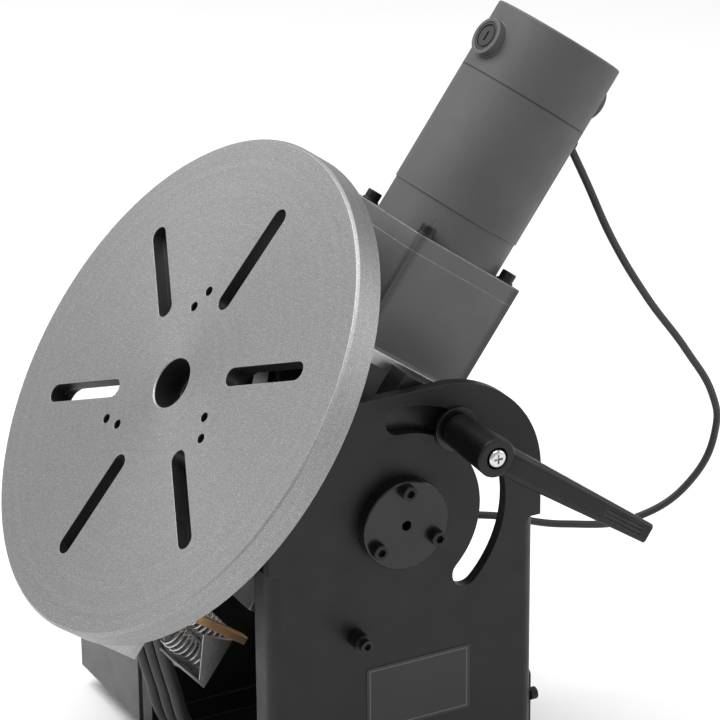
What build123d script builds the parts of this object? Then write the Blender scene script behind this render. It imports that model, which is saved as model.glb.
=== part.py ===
from build123d import *
import os
from math import atan2, cos, pi, radians, sin, sqrt, tan

# Tilting rotary table with a motor drive. Millimetres, +Z up, front at -Y, tilt axis along X.
# The origin is on the floor, under the middle of the base plate.

# ---- Driving dimensions -----------------------------------------------------------------------

axis_height = 240          # tilt axis above the floor
tilt_angle = 54            # table face from horizontal, as modelled
table_height = 137         # table face above the tilt axis, along the spindle
table_radius = 175
table_thickness = 20

# Table face: six radial T-bolt slots, two circles of tapped chuck holes, one centre bore
slot_width = 13
slot_inner_radius = 64
slot_recess_width = 23      # room for the bolt heads, at the back
slot_recess_depth = 10
slot_outer_radius = 128.4
slot_angle = 85.5
chuck_hole_radius = 3.4
chuck_circles = ((54, 115.5), (65, 105.5))
table_bore_radius = 17.5

# Side plates and base
plate_outer = 106
plate_thickness = 8
plate_front = -95
plate_rear = 103
ear_rear = 106.5
ear_centre = (32.5, 14.5)
ear_radius = 74
corner_radius = 50
flange_width = 22
bend_radius = 9
flange_top = -20
base_length = 224
base_depth = 240
base_thickness = 8
base_hole_spacing = (190, 218)
base_hole_radius = 5.5
angle_leg = 38
angle_height = 19.5
angle_thickness = 4
floor_screw_size = 6
floor_screw_pitch = 70
rear_panel_top = 100
rear_panel_thickness = 3
panel_screw_size = 5
panel_screw_rows = (30, 80)

# Trunnions and the clamp slot
trunnion_radius = 31
trunnion_thickness = 10
trunnion_pin_radius = 14
trunnion_pin_end = 80
trunnion_circle = 24.7
trunnion_screw_size = 6
trunnion_screw_length = 12
grease_hole_radius = 3.5
grease_hole_depth = 18
bush_radius = 17
running_clearance = 0.05
clamp_radius = 70
clamp_slot_width = 19.5
tilt_low = -45
tilt_high = 90

# Cradle
arm_inner = 79
arm_outer = 97
arm_front = 49
arm_rear = -24
arm_top = 85
arm_bottom = -36
cradle_plate_top = 88
cradle_plate_thickness = 9
cradle_plate_rear = -33
cradle_plate_front = 110
web_front = 47
web_thickness = 12
web_bottom = -100
cradle_screw_size = 8

# Spindle and its housing
spindle_radius = 22.5
spindle_bore_radius = 15
spindle_flange_radius = 59
spindle_flange_thickness = 12
spindle_end = -24
housing_radius = 60
housing_flange_radius = 74
housing_flange_thickness = 10
housing_top = 99
spindle_bearing_radius = 37.5
spindle_bearing_width = 16
disc_screw_size = 5

# Bevel gears: axes cross at the motor axis and the spindle axis
motor_offset = 13
bevel_module = 2
pinion_teeth = 12
wheel_teeth = 48
toe_share = 0.7
hub_share = toe_share - 0.05
heel_share = 1.04
pressure_slope = tan(radians(20))
tooth_share = 0.44

# Gearhead: two equal spur stages that return to the motor's axis
gearbox_width = 92
gearbox_bottom = cradle_plate_top
gearbox_flange_bottom = 154
gearbox_top = 166
gearbox_wall = 3
gearbox_screw_size = 6
gearbox_screw_pitch = 75
spur_module = 0.75
spur_width = 9
output_gear_bottom = 106
output_shaft_radius = 6
output_shaft_end = 32
countershaft_radius = 3.4
armature_pinion_bottom = 132
armature_shaft_radius = 3.5

# Motor
adapter_radius = 45.7
motor_radius = 46.5
adapter_top = 190
yoke_top = 277
motor_top = 325
motor_wall = 4
brush_cap_height = 299
brush_cap_radius = 10.5
brush_cap_proud = 4.6
brush_seat_proud = 2
brush_stem_radius = 9
brush_boss_radius = 13
brush_boss_proud = 5
commutator_radius = 15

# Clamp lever
stud_radius = 6
washer_radius = 15
washer_thickness = 2.5
insert_radius = 9
insert_start = 109
insert_end = 152
lever_start = 111
lever_end = 161
lever_base_radius = 11.5
lever_head_radius = 13.5
lever_recess_radius = 7.5
lever_root_size = (17, 20)
lever_tip_size = (8.5, 13.5)
lever_groove_size = (30, 1.2)
lever_groove_depth = 0.8
lever_web = 1.5
lever_travel = 5
lever_angle = -34
lever_lean = 27
lever_length = 129

# Ground brush
brush_arm_thickness = 3
brush_arm_bottom = -177
copper_bar_size = (8, 5.5)

# Control box on the left plate
box_left = -206
box_bottom = 13
box_top = 200
box_front = -95
box_rear = 75
box_wall = 1.5
knob_radius = 13
cable_radius = 2.75
ground_cable_radius = 4.6

# ---- Planes -----------------------------------------------------------------------------------

tilt = radians(tilt_angle)
tilt_frame = Plane(
    origin=(0, 0, axis_height), x_dir=(1, 0, 0), z_dir=(0, -sin(tilt), cos(tilt))
)
spindle_axis = Axis(tilt_frame.origin, tilt_frame.z_dir)
motor_axis = Axis(tilt_frame.origin, tilt_frame.y_dir)


def spindle_plane(height):
    """Across the spindle: local x is X, local y points to the motor, normal points out of the table."""
    return tilt_frame.offset(height)


def motor_plane(distance):
    """Across the motor: local x is X, local y points away from the table."""
    origin = tilt_frame.from_local_coords(Vector(0, distance, motor_offset))
    return Plane(origin=origin, x_dir=(1, 0, 0), z_dir=tilt_frame.y_dir)


def cradle_plane(x):
    """Side view of the cradle: local x points to the motor, local y out of the table."""
    origin = tilt_frame.from_local_coords(Vector(x, 0, 0))
    return Plane(origin=origin, x_dir=tilt_frame.y_dir, z_dir=(1, 0, 0))


def frame_plane(x):
    """Side view of the frame about the tilt axis: local x is Y, local y is Z."""
    return Plane(origin=(x, 0, axis_height), x_dir=(0, 1, 0), z_dir=(1, 0, 0))


def polar(radius, angle):
    """Point at a radius and an angle in degrees."""
    return (radius * cos(radians(angle)), radius * sin(radians(angle)))


# ---- Repeated pieces --------------------------------------------------------------------------


def cap_screws(plane, places, size, length):
    """Hexagon-socket cap screws, heads standing on a plane and shanks below it."""
    head_radius = 0.87 * size
    with BuildPart() as screws:
        with BuildSketch(plane):
            with Locations(*places):
                Circle(head_radius)
        extrude(amount=size)
        chamfer(screws.edges().filter_by(GeomType.CIRCLE).group_by(Axis(plane.origin, plane.z_dir))[-1],
                0.08 * size)
        with BuildSketch(plane.offset(size)):
            with Locations(*places):
                RegularPolygon(radius=0.5 * size, side_count=6)
        extrude(amount=-0.55 * size, mode=Mode.SUBTRACT)
        with BuildSketch(plane):
            with Locations(*places):
                Circle(size / 2)
        extrude(amount=-length)
    return screws


def bearing(plane, bore, outer, width, ball_count):
    """Deep-groove ball bearing standing on a plane: two rings with a ball track, and its balls."""
    pitch = (bore + outer) / 2
    ball = 0.28 * (outer - bore)
    ring = 0.3 * (outer - bore)
    with BuildPart() as made:
        with BuildSketch(plane):
            Circle(outer)
            Circle(outer - ring, mode=Mode.SUBTRACT)
            Circle(bore + ring)
            Circle(bore, mode=Mode.SUBTRACT)
        extrude(amount=width)
        with BuildSketch(Plane(origin=plane.origin, x_dir=plane.x_dir, z_dir=plane.y_dir)):
            with Locations((pitch, -width / 2)):
                Circle(ball + running_clearance)
        revolve(axis=Axis(plane.origin, plane.z_dir), mode=Mode.SUBTRACT)
        with Locations(plane.offset(width / 2)):
            with PolarLocations(pitch, ball_count):
                Sphere(ball)
    return made


def half_thickness(module, pitch_radius, radius):
    """Half the width of a gear tooth at a radius: radial below the pitch line, sloped above it."""
    at_pitch = tooth_share * pi * module / 2
    if radius <= pitch_radius:
        return at_pitch * radius / pitch_radius
    return at_pitch - (radius - pitch_radius) * pressure_slope


def spur_gear(plane, teeth, width, bore, phase):
    """Spur gear standing on a plane, with a tooth at the phase angle."""
    pitch_radius = spur_module * teeth / 2
    root_radius = pitch_radius - 1.25 * spur_module
    tip_radius = pitch_radius + spur_module
    levels = (root_radius - 0.2, pitch_radius, tip_radius)
    right_side = [(r, half_thickness(spur_module, pitch_radius, r)) for r in levels]
    left_side = [(r, -half) for r, half in reversed(right_side)]
    with BuildPart() as gear:
        with BuildSketch(plane) as outline:
            Circle(root_radius)
            with PolarLocations(0, teeth, start_angle=phase):
                Polygon(*right_side, *left_side, align=None)
            Circle(bore, mode=Mode.SUBTRACT)
        extrude(amount=width)
    return gear


def bevel_gear(apex_plane, teeth, mate_teeth, bore, back_distance, phase):
    """Straight bevel gear. The plane is at the cones' apex, with its normal towards the gear's back."""
    cone = atan2(teeth, mate_teeth)
    pitch_radius = bevel_module * teeth / 2
    pitch_distance = bevel_module * mate_teeth / 2
    addendum = bevel_module
    dedendum = 1.25 * bevel_module
    root = (pitch_radius - dedendum * cos(cone), pitch_distance + dedendum * sin(cone))
    heel_root = (heel_share * root[0], heel_share * root[1])
    toe_root = (hub_share * root[0], hub_share * root[1])
    # Tooth depth measured outwards from the pitch cone, with its half width
    depths = (-dedendum - 0.3, 0, addendum)
    mate_share = tooth_share * pi * bevel_module / 2
    widths = (mate_share * (1 - 0.9 * dedendum / (pitch_radius / cos(cone))), mate_share,
              mate_share - addendum * pressure_slope)
    with BuildPart() as tooth:
        for share in (1, toe_share):
            heel = apex_plane.from_local_coords(
                Vector(share * pitch_radius, 0, share * pitch_distance)
            )
            outward = apex_plane.from_local_coords(
                Vector(share * pitch_radius + cos(cone), 0, share * pitch_distance - sin(cone))
            ) - heel
            normal = apex_plane.y_dir.cross(outward)
            with BuildSketch(Plane(origin=heel, x_dir=outward, z_dir=normal)):
                upper = [(share * d, share * w) for d, w in zip(depths, widths)]
                lower = [(share * d, -share * w) for d, w in zip(reversed(depths), reversed(widths))]
                Polygon(*upper, *lower, align=None)
        loft()
    with BuildPart() as gear:
        with BuildSketch(Plane(origin=apex_plane.origin, x_dir=apex_plane.x_dir, z_dir=-apex_plane.y_dir)):
            with BuildLine():
                Polyline((bore, toe_root[1]), toe_root, heel_root, (heel_root[0], back_distance),
                         (bore, back_distance), close=True)
            make_face()
        revolve(axis=Axis(apex_plane.origin, apex_plane.z_dir))
        for index in range(teeth):
            turn = phase + index * 360 / teeth
            add(tooth.part.rotate(Axis(apex_plane.origin, apex_plane.z_dir), turn))
    return gear


# ---- Base and frame ---------------------------------------------------------------------------

floor_screw_places = [
    (side * (plate_outer - plate_thickness - angle_leg / 2), row * floor_screw_pitch)
    for side in (-1, 1)
    for row in (-1, 0, 1)
]

with BuildPart() as base_plate:
    with BuildSketch(Plane.XY):
        RectangleRounded(base_length, base_depth, 12)
        with GridLocations(*base_hole_spacing, 2, 2):
            Circle(base_hole_radius, mode=Mode.SUBTRACT)
        with Locations(*floor_screw_places):
            Circle(floor_screw_size / 2 + 0.1, mode=Mode.SUBTRACT)
    extrude(amount=base_thickness)
    chamfer(base_plate.faces().sort_by(Axis.Z)[-1].outer_wire().edges(), 1)
base_plate.part.label = "base_plate"

with BuildPart() as floor_angles:
    for side in (-1, 1):
        outer = side * (plate_outer - plate_thickness)
        with BuildSketch(Plane.XZ.offset(-plate_front - bend_radius)):
            with BuildLine():
                Polyline(
                    (outer, base_thickness),
                    (outer, base_thickness + angle_height),
                    (outer - side * angle_thickness, base_thickness + angle_height),
                    (outer - side * angle_thickness, base_thickness + angle_thickness),
                    (outer - side * angle_leg, base_thickness + angle_thickness),
                    (outer - side * angle_leg, base_thickness),
                    close=True,
                )
            make_face()
        extrude(amount=-(plate_rear - plate_front - 2 * bend_radius))
    with BuildSketch(Plane.XY.offset(base_thickness)):
        with Locations(*floor_screw_places):
            Circle(floor_screw_size / 2 + 0.2)
    extrude(amount=angle_thickness, mode=Mode.SUBTRACT)
floor_angles.part.label = "floor_angles"

trunnion_screw_places = [polar(trunnion_circle, angle) for angle in (90, 210, 330)]
side_screw_place = (-33, -77)


def side_plate(side):
    """Folded side plate, standing on the base plate. The right one has the clamp slot."""
    low = plate_outer - plate_thickness if side > 0 else -plate_outer
    ear_top = ear_centre[1] + ear_radius
    flange_middle = side * (plate_outer - flange_width / 2)
    with BuildPart() as plate:
        # Flat ear above the folded flanges
        with BuildSketch(frame_plane(low)) as ear:
            with BuildLine():
                Polyline(
                    (plate_front, flange_top),
                    (plate_front, ear_top),
                    (ear_centre[0], ear_top),
                    (ear_rear, ear_centre[1]),
                    (ear_rear, flange_top),
                    close=True,
                )
            make_face()
            fillet(ear.vertices().sort_by(lambda v: v.X - v.Y)[0], corner_radius)
            with Locations(ear_centre):
                Circle(ear_radius)
        extrude(amount=plate_thickness)
        # Channel-shaped lower part, with rounded bends
        with BuildSketch(Plane.XY.offset(base_thickness)) as channel:
            with Locations((side * (plate_outer - plate_thickness / 2), (plate_front + plate_rear) / 2)):
                Rectangle(plate_thickness, plate_rear - plate_front)
            for y in (plate_front + plate_thickness / 2, plate_rear - plate_thickness / 2):
                with Locations((flange_middle, y)):
                    Rectangle(flange_width, plate_thickness)
            corners = channel.vertices().filter_by(lambda v: abs(v.X - side * plate_outer) < 0.01)
            fillet(corners, bend_radius)
        extrude(amount=axis_height + flange_top - base_thickness)
        with BuildSketch(frame_plane(low)):
            Circle(trunnion_pin_radius + 0.1)
            with Locations(*trunnion_screw_places):
                Circle(trunnion_screw_size / 2 + 0.1)
            if side > 0:
                with BuildLine(mode=Mode.PRIVATE) as slot_path:
                    CenterArc((0, 0), clamp_radius, tilt_low, tilt_high - tilt_low)
                SlotArc(slot_path.edges()[0], clamp_slot_width)
                with Locations(side_screw_place):
                    Circle(2.6)
        extrude(amount=plate_thickness, mode=Mode.SUBTRACT)
        with BuildSketch(Plane.XZ.offset(-plate_rear)):
            with Locations(*[(flange_middle, row) for row in panel_screw_rows]):
                Circle(panel_screw_size / 2 + 0.1)
        extrude(amount=plate_thickness, mode=Mode.SUBTRACT)
    return plate


side_plate_right = side_plate(1)
side_plate_right.part.label = "side_plate_right"
side_plate_left = side_plate(-1)
side_plate_left.part.label = "side_plate_left"

with BuildPart() as rear_panel:
    panel_width = 2 * plate_outer - 2 * bend_radius
    with BuildSketch(Plane.XZ.offset(-plate_rear)):
        with Locations((0, (base_thickness + rear_panel_top) / 2)):
            RectangleRounded(panel_width, rear_panel_top - base_thickness - 2, 4)
        for side in (-1, 1):
            with Locations(*[(side * (plate_outer - flange_width / 2), row) for row in panel_screw_rows]):
                Circle(panel_screw_size / 2 + 0.2, mode=Mode.SUBTRACT)
    extrude(amount=-rear_panel_thickness)
rear_panel.part.label = "rear_panel"

panel_screw_places = [
    (side * (plate_outer - flange_width / 2), row) for side in (-1, 1) for row in panel_screw_rows
]
rear_face = Plane(origin=(0, plate_rear + rear_panel_thickness, 0), x_dir=(1, 0, 0), z_dir=(0, 1, 0))
floor_seat = Plane.XY.offset(base_thickness + angle_thickness)
with BuildPart() as frame_screws:
    add(cap_screws(floor_seat, floor_screw_places, floor_screw_size, 10).part)
    add(cap_screws(rear_face, [(x, -z) for x, z in panel_screw_places], panel_screw_size, 10).part)
frame_screws.part.label = "frame_screws"


def trunnion(side):
    """Flanged trunnion pin, screwed to the outside of a side plate."""
    outward = Plane(origin=(side * plate_outer, 0, axis_height), x_dir=(0, 1, 0), z_dir=(side, 0, 0))
    with BuildPart() as made:
        with BuildSketch(outward):
            Circle(trunnion_radius)
        extrude(amount=trunnion_thickness)
        outward_axis = Axis(outward.origin, outward.z_dir)
        chamfer(made.edges().filter_by(GeomType.CIRCLE).group_by(outward_axis)[-1], 0.8)
        with BuildSketch(outward):
            Circle(trunnion_pin_radius)
        extrude(amount=-(plate_outer - trunnion_pin_end))
        with BuildSketch(outward.offset(trunnion_thickness)):
            Circle(grease_hole_radius)
        extrude(amount=-grease_hole_depth, mode=Mode.SUBTRACT)
        with BuildSketch(outward.offset(trunnion_thickness)):
            places = [(x, side * y) for x, y in trunnion_screw_places]
            with Locations(*places):
                Circle(trunnion_screw_size / 2 + 0.1)
        extrude(amount=-trunnion_thickness, mode=Mode.SUBTRACT)
    return made


with BuildPart() as trunnions:
    add(trunnion(1).part)
    add(trunnion(-1).part)
trunnions.part.label = "trunnions"

with BuildPart() as trunnion_screws:
    for side in (-1, 1):
        outward = Plane(
            origin=(side * (plate_outer + trunnion_thickness), 0, axis_height),
            x_dir=(0, 1, 0),
            z_dir=(side, 0, 0),
        )
        places = [(x, side * y) for x, y in trunnion_screw_places]
        add(cap_screws(outward, places, trunnion_screw_size, trunnion_screw_length).part)
trunnion_screws.part.label = "trunnion_screws"

spacer_length = 12
with BuildPart() as side_screw:
    with BuildSketch(frame_plane(plate_outer)):
        with Locations(side_screw_place):
            Circle(6)
            Circle(2.7, mode=Mode.SUBTRACT)
    extrude(amount=spacer_length)
    add(cap_screws(frame_plane(plate_outer + spacer_length), [side_screw_place], 5, 24).part)
side_screw.part.label = "side_screw"

with BuildPart() as rating_label:
    with BuildSketch(frame_plane(plate_outer + 0.01)):
        with Locations((14, -127)):
            RectangleRounded(78, 48, 2)
    extrude(amount=0.3)
rating_label.part.label = "rating_label"

# ---- Control box ------------------------------------------------------------------------------

box_middle = (box_bottom + box_top) / 2
box_depth = box_rear - box_front
box_centre_y = (box_rear + box_front) / 2
cover_plane = Plane(origin=(box_left, box_centre_y, box_middle), x_dir=(0, -1, 0), z_dir=(-1, 0, 0))
cover_screw_places = [
    (x * (box_depth / 2 - 8), y * ((box_top - box_bottom) / 2 - 8)) for x in (-1, 1) for y in (-1, 1)
]
dial_place = (0, 48)
direction_place = (-35, -8)
power_place = (35, -8)
socket_place = (-35, -58)
fuse_place = (35, -58)

with BuildPart() as control_box:
    with BuildSketch(cover_plane.offset(-box_wall)):
        RectangleRounded(box_depth, box_top - box_bottom, 3)
    extrude(amount=-(-plate_outer - box_left - box_wall))
    with BuildSketch(cover_plane.offset(-box_wall)):
        RectangleRounded(box_depth - 2 * box_wall, box_top - box_bottom - 2 * box_wall, 2)
    extrude(amount=-(-plate_outer - box_left - 2 * box_wall), mode=Mode.SUBTRACT)
    with BuildSketch(cover_plane.offset(-box_wall)):
        with Locations(*cover_screw_places):
            Rectangle(12, 12)
    extrude(amount=-10)
    with BuildSketch(cover_plane.offset(-box_wall)):
        with Locations(*cover_screw_places):
            Circle(2.1)
    extrude(amount=-10, mode=Mode.SUBTRACT)
    # Mains inlet in the rear wall, vent slots in the top wall, cable hole through the plate side
    with BuildSketch(Plane(origin=(0, box_rear + 1, 0), x_dir=(1, 0, 0), z_dir=(0, -1, 0))):
        with Locations((-156, 50)):
            Rectangle(28, 20.4)
    extrude(amount=box_wall + 2, mode=Mode.SUBTRACT)
    with BuildSketch(Plane.XY.offset(box_top + 1)):
        with Locations((-156, box_centre_y)):
            with GridLocations(0, 10, 1, 7):
                SlotOverall(60, 4)
    extrude(amount=-(box_wall + 2), mode=Mode.SUBTRACT)
control_box.part.label = "control_box"

with BuildPart() as control_box_cover:
    with BuildSketch(cover_plane.offset(-box_wall)):
        RectangleRounded(box_depth, box_top - box_bottom, 3)
        with Locations(*cover_screw_places):
            Circle(2.2, mode=Mode.SUBTRACT)
        with Locations(dial_place):
            Circle(5.2, mode=Mode.SUBTRACT)
        with Locations(direction_place, power_place):
            Rectangle(19.4, 27.4, mode=Mode.SUBTRACT)
        with Locations(socket_place):
            Circle(8.2, mode=Mode.SUBTRACT)
        with Locations(fuse_place):
            Circle(6.2, mode=Mode.SUBTRACT)
    extrude(amount=box_wall)
    with BuildSketch(cover_plane):
        with Locations(dial_place):
            Circle(24)
            Circle(5.2, mode=Mode.SUBTRACT)
    extrude(amount=0.8)
control_box_cover.part.label = "control_box_cover"

cover_screws = cap_screws(cover_plane, cover_screw_places, 4, 9)
cover_screws.part.label = "cover_screws"

with BuildPart() as speed_knob:
    knob_plane = cover_plane.offset(1.2)
    with BuildSketch(knob_plane):
        with Locations(dial_place):
            Circle(knob_radius)
    extrude(amount=16, taper=4)
    with BuildSketch(knob_plane.offset(-1)):
        with Locations(dial_place):
            with PolarLocations(knob_radius + 0.4, 18):
                Circle(1)
    extrude(amount=18, mode=Mode.SUBTRACT)
    with BuildSketch(knob_plane):
        with Locations(dial_place):
            Circle(3 + running_clearance)
    extrude(amount=12, mode=Mode.SUBTRACT)
speed_knob.part.label = "speed_knob"


def rocker_bezel(place):
    """Frame that snaps into the cover and carries a rocker."""
    with BuildPart() as bezel:
        with BuildSketch(cover_plane):
            with Locations(place):
                RectangleRounded(23, 31, 1.5)
                Rectangle(15, 23, mode=Mode.SUBTRACT)
        extrude(amount=2)
        with BuildSketch(cover_plane):
            with Locations(place):
                Rectangle(19, 27)
                Rectangle(15, 23, mode=Mode.SUBTRACT)
        extrude(amount=-18)
        with BuildSketch(cover_plane.offset(-18)):
            with Locations(place):
                Rectangle(19, 27)
        extrude(amount=-2)
    return bezel


def rocker(place):
    """Rocker with a shallow V face, on its own pin."""
    pivot = Plane(
        origin=cover_plane.from_local_coords(Vector(place[0], place[1], -3)),
        x_dir=cover_plane.y_dir,
        z_dir=cover_plane.x_dir,
    )
    with BuildPart() as made:
        with BuildSketch(pivot.offset(-7)):
            with BuildLine():
                Polyline((-8.5, -5), (8.5, -5), (10.6, 7.5), (0, 5.2), (-10.6, 7.5), close=True)
            make_face()
        extrude(amount=14)
        fillet(made.edges().filter_by(Axis(pivot.origin, pivot.z_dir)), 0.6)
    return made


with BuildPart() as switch_bezels:
    add(rocker_bezel(direction_place).part)
    add(rocker_bezel(power_place).part)
switch_bezels.part.label = "switch_bezels"
direction_rocker = rocker(direction_place)
direction_rocker.part.label = "direction_rocker"
power_rocker = rocker(power_place)
power_rocker.part.label = "power_rocker"

with BuildPart() as box_sockets:
    # Round pedal socket
    with BuildSketch(cover_plane):
        with Locations(socket_place):
            Circle(11)
    extrude(amount=5)
    with BuildSketch(cover_plane):
        with Locations(socket_place):
            Circle(8)
    extrude(amount=-14)
    with BuildSketch(cover_plane.offset(5)):
        with Locations(socket_place):
            Circle(7)
    extrude(amount=-9, mode=Mode.SUBTRACT)
    with BuildSketch(cover_plane.offset(-4)):
        with Locations(socket_place):
            with PolarLocations(3.5, 4):
                Circle(0.8)
    extrude(amount=7)
    # Fuse holder
    with BuildSketch(cover_plane):
        with Locations(fuse_place):
            Circle(8)
    extrude(amount=4)
    with BuildSketch(cover_plane):
        with Locations(fuse_place):
            Circle(6)
    extrude(amount=-22)
    with BuildSketch(cover_plane.offset(4)):
        with Locations(fuse_place):
            Rectangle(10, 1.6)
    extrude(amount=-1.5, mode=Mode.SUBTRACT)
    # Mains inlet
    inlet_plane = Plane(origin=(-156, box_rear, 50), x_dir=(1, 0, 0), z_dir=(0, 1, 0))
    with BuildSketch(inlet_plane):
        RectangleRounded(36, 28, 3)
    extrude(amount=3)
    with BuildSketch(inlet_plane):
        Rectangle(27.6, 20)
    extrude(amount=-16)
    with BuildSketch(inlet_plane.offset(3)):
        RectangleRounded(24, 16.4, 3)
    extrude(amount=-15, mode=Mode.SUBTRACT)
    with BuildSketch(inlet_plane.offset(-12)):
        with GridLocations(7, 0, 3, 1):
            Rectangle(2, 4)
    extrude(amount=10)
box_sockets.part.label = "box_sockets"

with BuildPart() as speed_controller:
    # Potentiometer behind the knob
    with BuildSketch(cover_plane.offset(-box_wall - 0.1)):
        with Locations(dial_place):
            Circle(12)
    extrude(amount=-14)
    with BuildSketch(cover_plane.offset(-box_wall - 0.1)):
        with Locations(dial_place):
            Circle(5)
    extrude(amount=box_wall + 0.1)
    with BuildSketch(cover_plane):
        with Locations(dial_place):
            Circle(3)
    extrude(amount=12)
    # Circuit board and its heat sink
    with BuildSketch(Plane.YZ.offset(-plate_outer - box_wall - 8)):
        with Locations((box_centre_y, box_middle)):
            Rectangle(120, 130)
    extrude(amount=2)
    with BuildSketch(Plane.YZ.offset(-plate_outer - box_wall - 8)):
        with Locations((box_centre_y, box_middle)):
            with GridLocations(9, 0, 6, 1):
                Rectangle(3, 90)
    extrude(amount=-30)
speed_controller.part.label = "speed_controller"

# ---- Cradle -----------------------------------------------------------------------------------

web_rear = web_front - web_thickness
plate_low = cradle_plate_top - cradle_plate_thickness


def cradle_arm(side):
    """Thick arm that turns on a trunnion. The right one carries the clamp stud."""
    low = arm_inner if side > 0 else -arm_outer
    with BuildPart() as arm:
        with BuildSketch(cradle_plane(low)) as outline:
            with BuildLine():
                Polyline((arm_top, arm_rear), (arm_top, arm_front), (arm_bottom, arm_front),
                         (arm_bottom, arm_rear), close=True)
            make_face()
            fillet(outline.vertices().sort_by(Axis.X)[:2], 14)
            Circle(bush_radius, mode=Mode.SUBTRACT)
            if side > 0:
                with Locations((clamp_radius, 0)):
                    Circle(stud_radius + 0.02, mode=Mode.SUBTRACT)
        extrude(amount=arm_outer - arm_inner)
        with BuildSketch(cradle_plane(side * arm_inner)):
            with Locations((-20, web_rear + web_thickness / 2), (40, web_rear + web_thickness / 2)):
                Circle(cradle_screw_size / 2 + 0.2)
        extrude(amount=side * (arm_outer - arm_inner), mode=Mode.SUBTRACT)
        with BuildSketch(cradle_plane(side * (arm_outer - cradle_screw_size))):
            with Locations((-20, web_rear + web_thickness / 2), (40, web_rear + web_thickness / 2)):
                Circle(cradle_screw_size)
        extrude(amount=side * (cradle_screw_size + 1), mode=Mode.SUBTRACT)
    return arm


cradle_arm_right = cradle_arm(1)
cradle_arm_right.part.label = "cradle_arm_right"
cradle_arm_left = cradle_arm(-1)
cradle_arm_left.part.label = "cradle_arm_left"

gearbox_corners = [
    (x * gearbox_screw_pitch / 2, y * gearbox_screw_pitch / 2) for x in (-1, 1) for y in (-1, 1)
]

with BuildPart() as cradle_plate:
    with BuildSketch(cradle_plane(-arm_inner)):
        with BuildLine():
            Polyline((plate_low, cradle_plate_rear), (cradle_plate_top, cradle_plate_rear),
                     (cradle_plate_top, cradle_plate_front), (plate_low, cradle_plate_front), close=True)
        make_face()
    extrude(amount=2 * arm_inner)
    with BuildSketch(motor_plane(plate_low)):
        Circle(16)
        with Locations(*gearbox_corners):
            Circle(gearbox_screw_size / 2 + 0.1)
    extrude(amount=cradle_plate_thickness, mode=Mode.SUBTRACT)
cradle_plate.part.label = "cradle_plate"

housing_screw_places = [polar(67, 30 + 60 * index) for index in range(6)]
brush_screw_places = [(10, -90), (24, -90)]

with BuildPart() as cradle_web:
    with BuildSketch(spindle_plane(web_rear)):
        with Locations((0, (plate_low + web_bottom) / 2)):
            Rectangle(2 * arm_inner, plate_low - web_bottom)
        Circle(30, mode=Mode.SUBTRACT)
        with Locations(*housing_screw_places):
            Circle(3.1, mode=Mode.SUBTRACT)
    extrude(amount=web_thickness)
    for side in (-1, 1):
        with BuildSketch(cradle_plane(side * arm_inner)):
            with Locations((-20, web_rear + web_thickness / 2), (40, web_rear + web_thickness / 2)):
                Circle(cradle_screw_size / 2 + 0.1)
        extrude(amount=-side * 14, mode=Mode.SUBTRACT)
    with BuildSketch(spindle_plane(web_front)):
        with Locations(*brush_screw_places):
            Circle(2.6)
    extrude(amount=-web_thickness, mode=Mode.SUBTRACT)
cradle_web.part.label = "cradle_web"

with BuildPart() as cradle_screws:
    for side in (-1, 1):
        seat = Plane(
            origin=tilt_frame.from_local_coords(Vector(side * (arm_outer - cradle_screw_size), 0, 0)),
            x_dir=tilt_frame.y_dir,
            z_dir=(side, 0, 0),
        )
        across = side * (web_rear + web_thickness / 2)
        add(cap_screws(seat, [(-20, across), (40, across)], cradle_screw_size, 22).part)
    housing_seat = spindle_plane(web_front + housing_flange_thickness)
    add(cap_screws(housing_seat, housing_screw_places, 6, 20).part)
    brush_seat = spindle_plane(web_front + brush_arm_thickness)
    add(cap_screws(brush_seat, brush_screw_places, 5, 12).part)
cradle_screws.part.label = "cradle_screws"

with BuildPart() as trunnion_bushes:
    for side in (-1, 1):
        with BuildSketch(cradle_plane(side * arm_inner)):
            Circle(bush_radius)
            Circle(trunnion_pin_radius + running_clearance, mode=Mode.SUBTRACT)
        extrude(amount=side * (arm_outer - arm_inner))
    # Thrust washers between the arms and the side plates
    for side in (-1, 1):
        with BuildSketch(cradle_plane(side * (arm_outer + 0.05))):
            Circle(bush_radius + 5)
            Circle(trunnion_pin_radius + 0.1, mode=Mode.SUBTRACT)
        extrude(amount=side * 0.9)
trunnion_bushes.part.label = "trunnion_bushes"

with BuildPart() as spindle_housing:
    with BuildSketch(spindle_plane(web_front)):
        Circle(housing_flange_radius)
    extrude(amount=housing_flange_thickness)
    with BuildSketch(spindle_plane(web_front)):
        Circle(housing_radius)
    extrude(amount=housing_top - web_front)
    with BuildSketch(spindle_plane(web_front)):
        Circle(spindle_bearing_radius + 0.02)
    extrude(amount=housing_top - web_front, mode=Mode.SUBTRACT)
    with BuildSketch(spindle_plane(web_front)):
        with Locations(*housing_screw_places):
            Circle(3.1)
    extrude(amount=housing_flange_thickness, mode=Mode.SUBTRACT)
    # Flat on the flange, where it meets the cradle plate
    with BuildSketch(spindle_plane(web_front)):
        with Locations((0, housing_flange_radius + 5)):
            Rectangle(2 * housing_flange_radius, 10)
    extrude(amount=housing_top - web_front, mode=Mode.SUBTRACT)
    chamfer(
        spindle_housing.edges().filter_by(GeomType.CIRCLE).group_by(spindle_axis)[-1],
        1.5,
    )
spindle_housing.part.label = "spindle_housing"

lower_bearing = web_front + 3
upper_bearing = housing_top - spindle_bearing_width - 1
with BuildPart() as spindle_bearings:
    for height in (lower_bearing, upper_bearing):
        add(
            bearing(
                spindle_plane(height),
                spindle_radius + running_clearance,
                spindle_bearing_radius,
                spindle_bearing_width,
                11,
            ).part
        )
spindle_bearings.part.label = "spindle_bearings"

# ---- Table and spindle ------------------------------------------------------------------------

disc_screw_places = [polar(45, 30 + 60 * index) for index in range(6)]
table_back = table_height - table_thickness

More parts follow.
